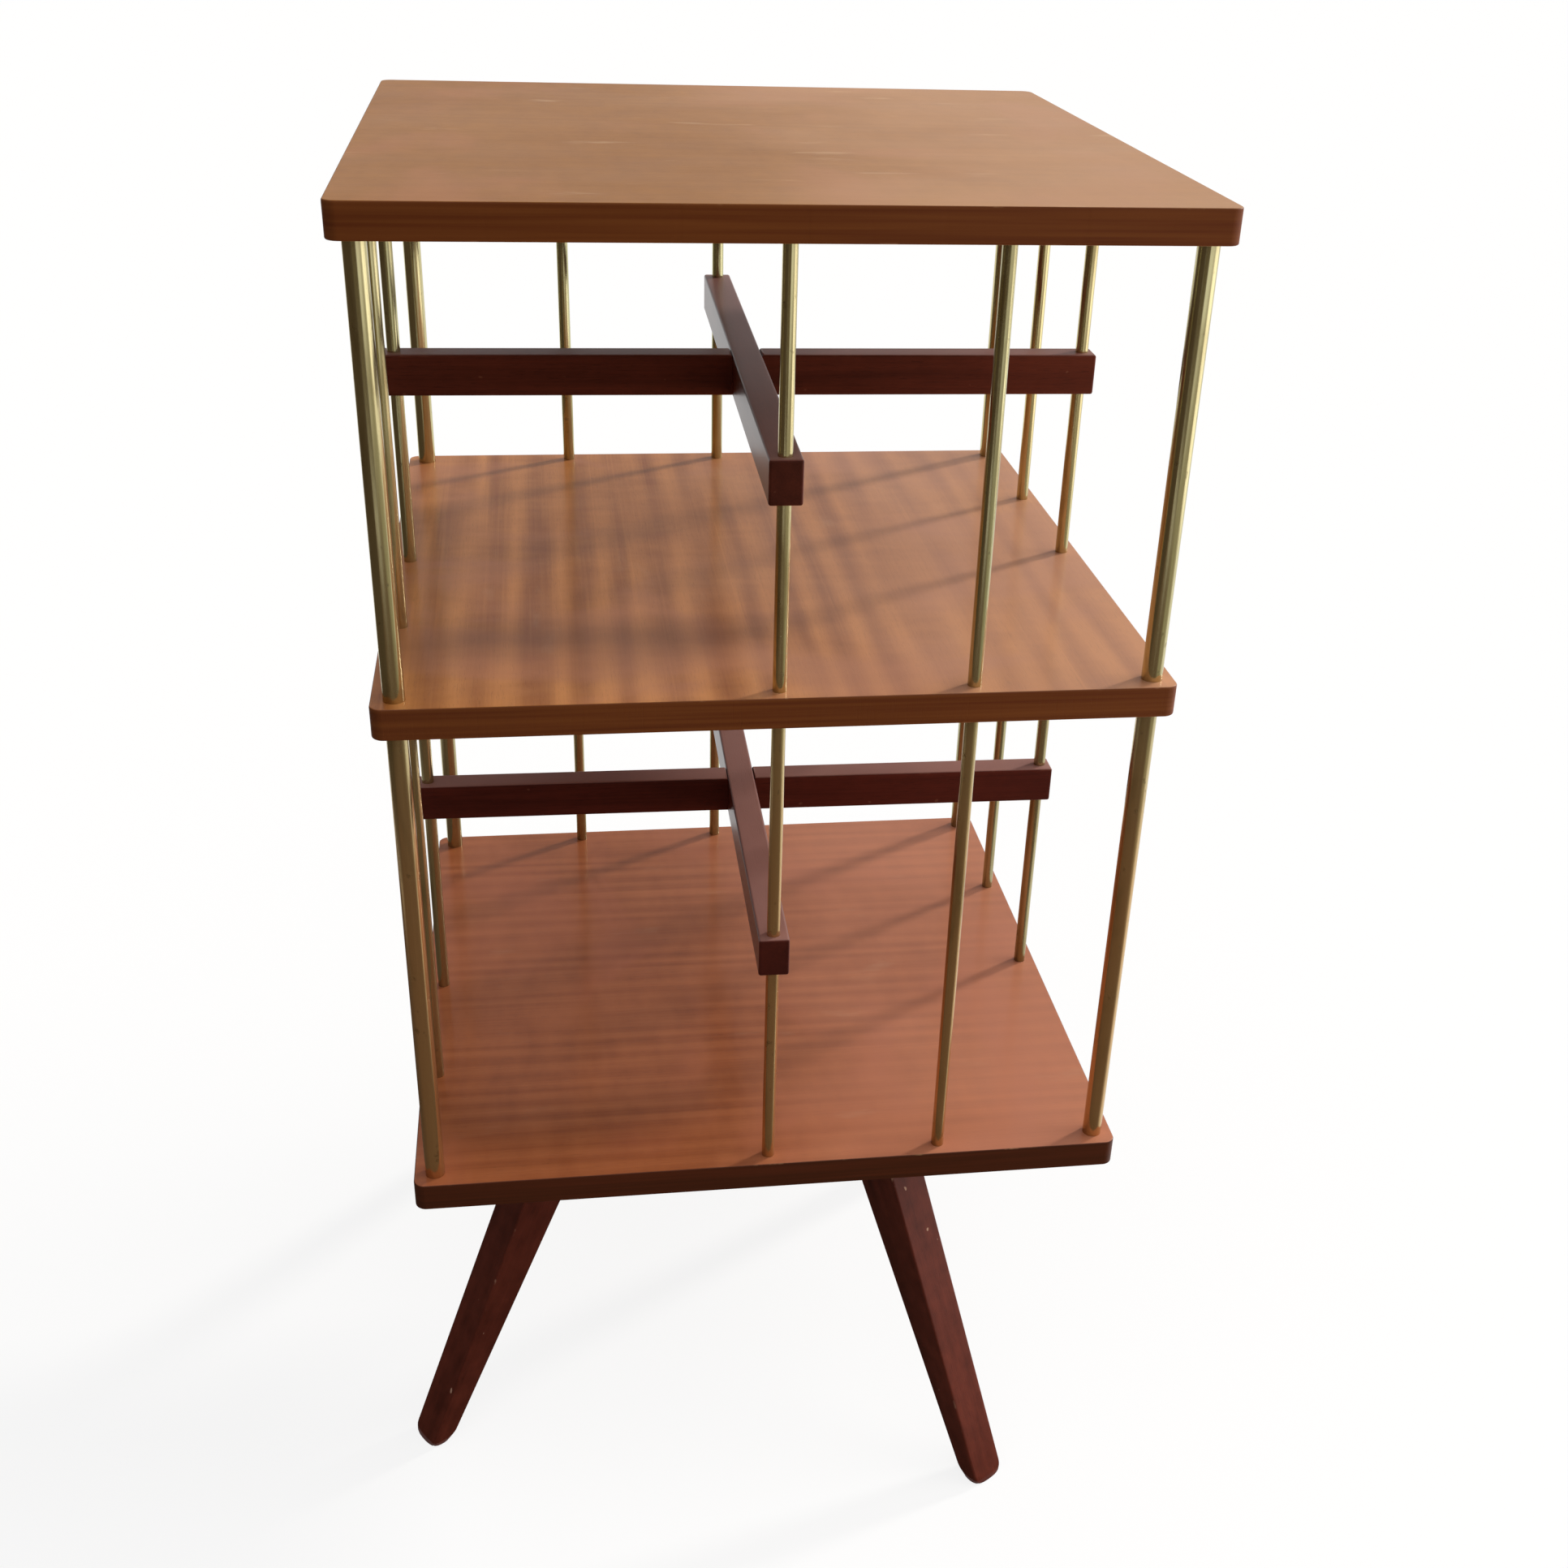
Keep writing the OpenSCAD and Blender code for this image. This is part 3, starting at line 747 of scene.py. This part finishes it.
# %% [markdown]
# ## Crosses
# In each tier two bars cross at half height, halved into each other, and their ends are bored for the middle
# rods. Only the outside of a bar is eased: the bored holes and the halving keep the crisp lines of a saw.

# %% Ease the crosses
CROSS_EASE = 0.0015
LAP_REACH = 0.03
BORE_MARGIN = 0.001
low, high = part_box("mid_rod_upper_front")
ROD_HALF = (high.x - low.x) / 2


def clear_of_bores(edge, bores, radius):
    """Whether an edge lies away from the holes for the rods."""
    spot = middle_of(edge)
    return all(math.hypot(spot.x - b.x, spot.y - b.y) > radius for b in bores)


for tier in ("upper", "lower"):
    for bar, ends in (("long", ("front", "rear")), ("side", ("left", "right"))):
        node = f"cross_{tier}_{bar}"
        bores = [node_middle(f"mid_rod_{tier}_{end}") for end in ends]
        low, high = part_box(node)

        def outside(edge):
            spot = middle_of(edge)
            past_lap = math.hypot(spot.x, spot.y) > LAP_REACH
            on_face = spot.z in (low.z, high.z)
            return clear_of_bores(edge, bores, ROD_HALF + BORE_MARGIN) and (past_lap or on_face)

        eased(node, CROSS_EASE, outside, bores[1] - bores[0], cross_stain[tier])

# %% [markdown]
# ## Stand
# Four legs taper to small feet, rounded off where they meet the floor, and are pinned to the tenons of two
# halved bars. The legs take knocks from shoes and brooms, so their edges are eased more and their finish
# shows more bare wood. To round a foot, the last of the leg is cut at a few levels and across, and each
# level's outline is drawn from a rectangle towards a rounded one, the more the nearer it is to the floor.

# %% Round a foot
FOOT_HEIGHT = 0.0075
FOOT_EDGE = 0.0008
FOOT_POWER = 2.8
FOOT_LEVELS = (0.0, 0.0003, FOOT_EDGE, 0.002, 0.0035, 0.0055, FOOT_HEIGHT)
FOOT_CUTS = (-0.9, -0.7, -0.45, -0.15, 0.15, 0.45, 0.7, 0.9)
LEVEL_SLACK = 5e-6


def cut(shape, parts, point, normal):
    """Cuts the given faces of a mesh along a plane."""
    edges = dict.fromkeys(e for f in parts for e in f.edges)
    points = dict.fromkeys(v for f in parts for v in f.verts)
    bmesh.ops.bisect_plane(shape, geom=[*points, *edges, *parts], plane_co=point, plane_no=normal,
                           dist=NO_LENGTH)


def widths_at(shape, z, axes):
    """The middle and half width of a leg at one level, along each axis."""
    at = [[v.co.dot(axis) for v in shape.verts if abs(v.co.z - z) < LEVEL_SLACK] for axis in axes]
    return [((max(a) + min(a)) / 2, (max(a) - min(a)) / 2) for a in at]


def rounded_foot(shape, out):
    """Cuts the last of a leg at its levels and across, and draws each point in from the corners."""
    axes = (out, out.cross(UP))
    for z in FOOT_LEVELS[1:]:
        cut(shape, list(shape.faces), (0, 0, z), UP)
    widths = {z: widths_at(shape, z, axes) for z in FOOT_LEVELS}
    for number, axis in enumerate(axes):
        middle, half = widths[0.0][number]
        lean = (widths[FOOT_HEIGHT][number][0] - middle) / FOOT_HEIGHT
        for share in FOOT_CUTS:
            foot = [f for f in shape.faces if max(v.co.z for v in f.verts) < FOOT_HEIGHT + LEVEL_SLACK]
            cut(shape, foot, axis * (middle + half * share), axis - lean * UP)
    for v in [v for v in shape.verts if v.co.z < FOOT_HEIGHT - LEVEL_SLACK]:
        z = min(FOOT_LEVELS, key=lambda level: abs(level - v.co.z))
        shares = [(v.co.dot(axis) - middle) / half for axis, (middle, half) in zip(axes, widths[z])]
        reach = max(abs(s) for s in shares)
        if reach < NO_LENGTH:
            continue
        corner = sum(abs(s / reach) ** FOOT_POWER for s in shares) ** (-1 / FOOT_POWER)
        scale = 1 + (corner - 1) * (1 - z / FOOT_HEIGHT) ** 2
        lip = max(0.0, FOOT_EDGE - z)
        inset = FOOT_EDGE - math.sqrt(FOOT_EDGE ** 2 - lip ** 2)
        for axis, s, (middle, half) in zip(axes, shares, widths[z]):
            v.co += axis * s * (scale * (half - inset) - half)


print("foot levels in mm:", [round(1000 * z, 1) for z in FOOT_LEVELS])

# %% Ease the legs
LEG_EASE = 0.0014
NEAR_END = 0.001
LEG_TOP_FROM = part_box("stand_bar_over")[1].z - NEAR_END
leg_out = {}


def mean_of(points):
    """The mean of a list of points."""
    return sum(points, Vector()) / len(points)


def along_leg(edge):
    """Whether an edge runs from the top of a leg to its foot, or lies round its top."""
    ends = [v.co.z for v in edge.verts]
    whole = min(ends) < NEAR_END and max(ends) > LEG_TOP_FROM
    return whole or min(ends) > LEG_TOP_FROM


for corner in ("front_right", "rear_right", "rear_left", "front_left"):
    node = "leg_" + corner
    points = [v.co for v in frame["nodes"][node].data.vertices]
    foot = mean_of([p for p in points if p.z < NEAR_END])
    top = mean_of([p for p in points if p.z > LEG_TOP_FROM])
    out = leg_out[corner] = Vector((foot.x, foot.y, 0)).normalized()
    eased(node, LEG_EASE, along_leg, foot - top, leg_stain,
          shaped=lambda shape: rounded_foot(shape, out))

# %% Ease the stand's bars
BAR_EASE = 0.0010
LONG_RUN = 0.03
STRAIGHT = 0.999
TENON_FROM = 0.14
for node, corner in (("stand_bar_over", "front_right"), ("stand_bar_under", "rear_right")):
    along = leg_out[corner]

    def long_edge(edge):
        run = edge.verts[1].co - edge.verts[0].co
        on_grain = run.length > LONG_RUN and abs(run.normalized().dot(along)) > STRAIGHT
        return on_grain and abs(middle_of(edge).dot(along)) < TENON_FROM

    eased(node, BAR_EASE, long_edge, along, leg_stain)

# %% [markdown]
# ## Pieces that repeat
# Posts, rods, screws, nuts and balls are each one shape set out many times. Copying objects would work, but
# Geometry Nodes say it better: one tree takes points, and puts the shape on each with that point's own size
# and turn. It gives every copy its own tone from a fixed seed. The tree ends in real mesh, because instances
# aren't exported.

# %% A tree that sets a shape out on points
INPUTS = (("Points", "NodeSocketGeometry"), ("Shape", "NodeSocketObject"), ("Seed", "NodeSocketInt"),
          ("Finish", "NodeSocketMaterial"))
set_out = bpy.data.node_groups.new("set_out_on_points", "GeometryNodeTree")
for label, kind in INPUTS:
    set_out.interface.new_socket(label, in_out="INPUT", socket_type=kind)
set_out.interface.new_socket("Pieces", in_out="OUTPUT", socket_type="NodeSocketGeometry")
bench = Wire(set_out)
given = {label: bench.node("NodeGroupInput", out=label) for label, kind in INPUTS}
shape = bench.node("GeometryNodeObjectInfo", {"Object": given["Shape"]}, out="Geometry")
size = bench.node("GeometryNodeInputNamedAttribute", {"Name": "size"}, data_type="FLOAT_VECTOR")
turn = bench.node("GeometryNodeInputNamedAttribute", {"Name": "turn"}, data_type="FLOAT_VECTOR")
turn = bench.node("FunctionNodeEulerToRotation", {"Euler": turn})
copies = bench.node("GeometryNodeInstanceOnPoints",
                    {"Points": given["Points"], "Instance": shape, "Rotation": turn, "Scale": size})
chance = bench.node("FunctionNodeRandomValue", {"Seed": given["Seed"]}, out=1, data_type="FLOAT")
copies = bench.node("GeometryNodeStoreNamedAttribute",
                    {"Geometry": copies, "Name": "own_tone", "Value": chance},
                    data_type="FLOAT", domain="INSTANCE")
real = bench.node("GeometryNodeRealizeInstances", {"Geometry": copies})
real = bench.node("GeometryNodeSetMaterial", {"Geometry": real, "Material": given["Finish"]})
bench.node("NodeGroupOutput", {"Pieces": real})
print("tree inputs:", [label for label, kind in INPUTS])

# %% Run the tree
SMOOTH_BELOW = math.radians(35)


def repeat(name, shape_mesh, places, finish, seed, body, nodes):
    """One plain mesh of shape_mesh at each place, given as (point, size, turn)."""
    pattern = bpy.data.objects.new(name + "_pattern", shape_mesh)
    points = bpy.data.meshes.new(name + "_points")
    points.from_pydata([point for point, size, turn in places], [], [])
    for label, index in (("size", 1), ("turn", 2)):
        flat = [part for place in places for part in place[index]]
        points.attributes.new(label, "FLOAT_VECTOR", "POINT").data.foreach_set("vector", flat)
    host = bpy.data.objects.new(name + "_host", points)
    for helper in (pattern, host):
        scene.collection.objects.link(helper)
    layout = host.modifiers.new("set_out", "NODES")
    layout.node_group = set_out
    chosen = {"Shape": pattern, "Seed": seed, "Finish": finish}
    for socket in set_out.interface.items_tree:
        if socket.in_out == "INPUT" and socket.name in chosen:
            layout[socket.identifier] = chosen[socket.name]
    bpy.context.view_layer.update()
    mesh = bpy.data.meshes.new_from_object(host.evaluated_get(bpy.context.evaluated_depsgraph_get()))
    host.modifiers.remove(layout)
    for helper in (host, pattern):
        bpy.data.objects.remove(helper)
    mesh.name = name
    mesh.shade_smooth()
    mesh.set_sharp_from_angle(angle=SMOOTH_BELOW)
    piece = bpy.data.objects.new(name, mesh)
    scene.collection.objects.link(piece)
    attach(piece, body)
    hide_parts(*nodes)
    print(name, "copies:", len(places), "faces:", len(mesh.polygons))


# %% [markdown]
# ## Posts and rods
# A corner post is a brass tube over a steel tie rod; the thinner rods are solid. Both are turned shapes, so a
# ring of points is repeated at a few heights. Rings near the ends store a value that rises to 1 where the
# bar meets a shelf, for grime. The shape is one unit high and one unit in radius, and each point's size sets
# the rest.

# %% Bar shapes
BAR_SIDES = 56
BAR_END = ((-0.5, 1.0), (-0.475, 1.0), (-0.455, 0.35), (-0.42, 0.0))
BAR_LEVELS = (*BAR_END, *((-z, grime) for z, grime in BAR_END[::-1]))
TIE_HOLE_SHARE = 0.6166


def ring_of(shape, radius, z, sides):
    """Adds a level ring of points to a shape."""
    turns = (2 * math.pi * k / sides for k in range(sides))
    return [shape.verts.new((radius * math.cos(t), radius * math.sin(t), z)) for t in turns]


def join_rings(shape, lower, upper):
    """Adds the band of faces between two rings."""
    for k in range(len(lower)):
        m = (k + 1) % len(lower)
        shape.faces.new((lower[k], lower[m], upper[m], upper[k]))


def bar_shape(name, bore):
    """A bar of radius 1 and height 1 on the origin: solid, or a tube if bore is above 0."""
    shape = bmesh.new()
    levels = [(1.0, z, grime) for z, grime in BAR_LEVELS]
    if bore:
        levels += [(bore, z, grime) for z, grime in BAR_LEVELS[::-1]]
    rings = [ring_of(shape, radius, z, BAR_SIDES) for radius, z, grime in levels]
    for lower, upper in zip(rings, rings[1:]):
        join_rings(shape, lower, upper)
    if bore:
        join_rings(shape, rings[-1], rings[0])
    else:
        shape.faces.new(rings[0][::-1])
        shape.faces.new(rings[-1])
    mesh = mesh_from(shape, name)
    grimes = [grime for radius, z, grime in levels for k in range(BAR_SIDES)]
    mesh.attributes.new("near_end", "FLOAT", "POINT").data.foreach_set("value", grimes)
    return mesh


post_shape = bar_shape("post_shape", TIE_HOLE_SHARE)
rod_shape = bar_shape("rod_shape", 0.0)
print("post faces:", len(post_shape.polygons), "rod faces:", len(rod_shape.polygons))

# %% Set out the posts and rods
NO_TURN = (0, 0, 0)


def bar_places(nodes):
    """The middle of each bar, with its radius and height as its size."""
    places = []
    for node in nodes:
        low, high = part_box(node)
        radius = (high.x - low.x) / 2
        places.append((node_middle(node), (radius, radius, high.z - low.z), NO_TURN))
    return places


post_nodes = [n for n in frame["nodes"] if n.startswith("corner_post_")]
rod_nodes = [n for n in frame["nodes"] if n.startswith(("mid_rod_", "quarter_rod_"))]
repeat("brass_posts", post_shape, bar_places(post_nodes), brass, seed=5, body="case", nodes=post_nodes)
repeat("brass_rods", rod_shape, bar_places(rod_nodes), brass, seed=8, body="case", nodes=rod_nodes)

# %% [markdown]
# ## Screws, nuts and balls
# Eight countersunk screws hold the swivel's plates, four nuts pull the case together from below, and a ring
# of balls carries it. CAD gives them plain cones, prisms and coarse balls. Here the screws get a slot, the
# nuts the round chamfer of a turned blank, and the balls an even net of faces.

# %% Screw shape
SCREW_SIDES = 32
SCREW_HEAD, SCREW_SHANK = 0.008, 0.004
HEAD_RIM = 0.0003
TIP_LENGTH, TIP_RADIUS = 0.003, 0.0004
SLOT_HALF, SLOT_DEPTH = 0.075 * SCREW_HEAD, 0.11 * SCREW_HEAD


def slotted_screw(length):
    """A countersunk screw along -Z, the top of its head at the origin, with a slot sawn right across."""
    shape = bmesh.new()
    head, shank = SCREW_HEAD / 2, SCREW_SHANK / 2
    profile = ((head, 0.0), (head, -HEAD_RIM), (shank, shank - head), (shank, TIP_LENGTH - length),
               (TIP_RADIUS, -length))
    rings = [ring_of(shape, radius, z, SCREW_SIDES) for radius, z in profile]
    for upper, lower in zip(rings, rings[1:]):
        join_rings(shape, lower, upper)
    shape.faces.new(rings[0])
    shape.faces.new(rings[-1][::-1])
    for point, normal in (((0, SLOT_HALF, 0), (0, 1, 0)), ((0, -SLOT_HALF, 0), (0, 1, 0)),
                          ((0, 0, -SLOT_DEPTH), UP)):
        cut(shape, list(shape.faces), point, normal)
    middles = {f: f.calc_center_median() for f in shape.faces}
    sawn = [f for f, m in middles.items() if m.z > -SLOT_DEPTH and abs(m.y) < SLOT_HALF]
    bmesh.ops.delete(shape, geom=sawn, context="FACES")
    open_points = dict.fromkeys(v for e in shape.edges if e.is_boundary for v in e.verts)
    for at, axis, first, second in ((SLOT_HALF, 1, 0, 2), (-SLOT_HALF, 1, 0, 2), (-SLOT_DEPTH, 2, 0, 1)):
        wall = [v for v in open_points if abs(v.co[axis] - at) < NO_LENGTH]
        middle = mean_of([v.co for v in wall])
        wall.sort(key=lambda v: math.atan2(v.co[second] - middle[second], v.co[first] - middle[first]))
        shape.faces.new(wall)
    bmesh.ops.recalc_face_normals(shape, faces=shape.faces)
    return mesh_from(shape, "screw_shape")


low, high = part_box("lower_plate_screws")
screw_shape = slotted_screw(high.z - low.z)
print("screw faces:", len(screw_shape.polygons))


# %% Set out the screws
def solids_of(node):
    """The middle of each separate solid in a node, in order round the axis."""
    shape = merged(node)
    left, middles = set(shape.verts), []
    while left:
        group, queue = set(), [next(iter(left))]
        while queue:
            v = queue.pop()
            if v not in group:
                group.add(v)
                queue += [e.other_vert(v) for e in v.link_edges]
        left -= group
        lows = [min(v.co[i] for v in group) for i in range(3)]
        highs = [max(v.co[i] for v in group) for i in range(3)]
        middles.append(Vector([(a + b) / 2 for a, b in zip(lows, highs)]))
    shape.free()
    return sorted(middles, key=lambda m: math.atan2(m.y, m.x))


FULL_SIZE = (1, 1, 1)
SLOT_TURNS = (0.4, 1.9, 2.6, 1.1)
for node, body, flip in (("lower_plate_screws", "stand", 0.0), ("upper_plate_screws", "case", math.pi)):
    low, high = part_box(node)
    head_z = low.z if flip else high.z
    places = [((m.x, m.y, head_z), FULL_SIZE, (flip, 0, t)) for m, t in zip(solids_of(node), SLOT_TURNS)]
    repeat(node + "_slotted", screw_shape, places, steel, seed=3, body=body, nodes=[node])

# %% Nuts
NUT_SIDES = 48
NUT_FLATS, NUT_BORE = 0.010, 0.0061
NUT_FACE = 0.96 * NUT_FLATS / 2
CHAMFER = math.tan(math.radians(30))
SIXTH = math.pi / 3


def turned_nut(height):
    """A hexagon nut standing on the origin, its corners cut back by a 30 degree cone."""
    shape = bmesh.new()
    rings = []
    for z, kind in ((0.0, "bore"), (height, "bore"), (height, "face"), (height, "side"), (0.0, "side"),
                    (0.0, "face")):
        ring = []
        for k in range(NUT_SIDES):
            t = 2 * math.pi * k / NUT_SIDES
            hexagon = NUT_FLATS / 2 / math.cos((t + SIXTH / 2) % SIXTH - SIXTH / 2)
            radius = {"bore": NUT_BORE / 2, "face": NUT_FACE, "side": hexagon}[kind]
            drop = (hexagon - NUT_FACE) * CHAMFER if kind == "side" else 0.0
            level = z - drop if z else drop
            ring.append(shape.verts.new((radius * math.cos(t), radius * math.sin(t), level)))
        rings.append(ring)
    for first, second in zip(rings, rings[1:] + rings[:1]):
        join_rings(shape, first, second)
    bmesh.ops.recalc_face_normals(shape, faces=shape.faces)
    return mesh_from(shape, "nut_shape")


low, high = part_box("tie_nuts")
nut_shape = turned_nut(high.z - low.z)
places = [((m.x, m.y, low.z), FULL_SIZE, (0, 0, t)) for m, t in zip(solids_of("tie_nuts"), SLOT_TURNS)]
repeat("tie_nuts_turned", nut_shape, places, steel, seed=4, body="case", nodes=["tie_nuts"])

# %% Balls
BALL_ROUND, BALL_DOWN = 24, 16
low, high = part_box("swivel_balls")
ball = bmesh.new()
bmesh.ops.create_uvsphere(ball, u_segments=BALL_ROUND, v_segments=BALL_DOWN, radius=(high.z - low.z) / 2)
ball_shape = mesh_from(ball, "ball_shape")
places = [(m, FULL_SIZE, NO_TURN) for m in solids_of("swivel_balls")]
repeat("swivel_balls_smooth", ball_shape, places, steel, seed=6, body="stand", nodes=["swivel_balls"])

# %% [markdown]
# ## Metal that stays as it is
# The swivel's plates and rivet, the tie rods, the inserts and the washers are already the right shape, so the
# CAD nodes stay and only change their finish. The pins of the stand do too, in the dark stain.

# %% Finish the remaining CAD nodes
PLAIN = {"swivel_plate_upper": steel, "swivel_plate_lower": steel, "swivel_rivet": steel,
         "tie_rods": steel, "tie_washers": steel, "tie_inserts": brass, "leg_pins": pin_stain}
for node, finish in PLAIN.items():
    for place in frame["nodes"][node].material_slots:
        place.material = finish
print("nodes kept:", sorted(PLAIN))

# %% [markdown]
# ## Measure and finish
# The dressed object must not outgrow the CAD model, so both boxes are written down to compare.

# %% Compare the boxes and finish
low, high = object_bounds()
print("grown by, mm:", [round(1000 * v, 3) for v in (*(cad_low - low), *(high - cad_high))])

scene.view_settings.view_transform = "Standard"
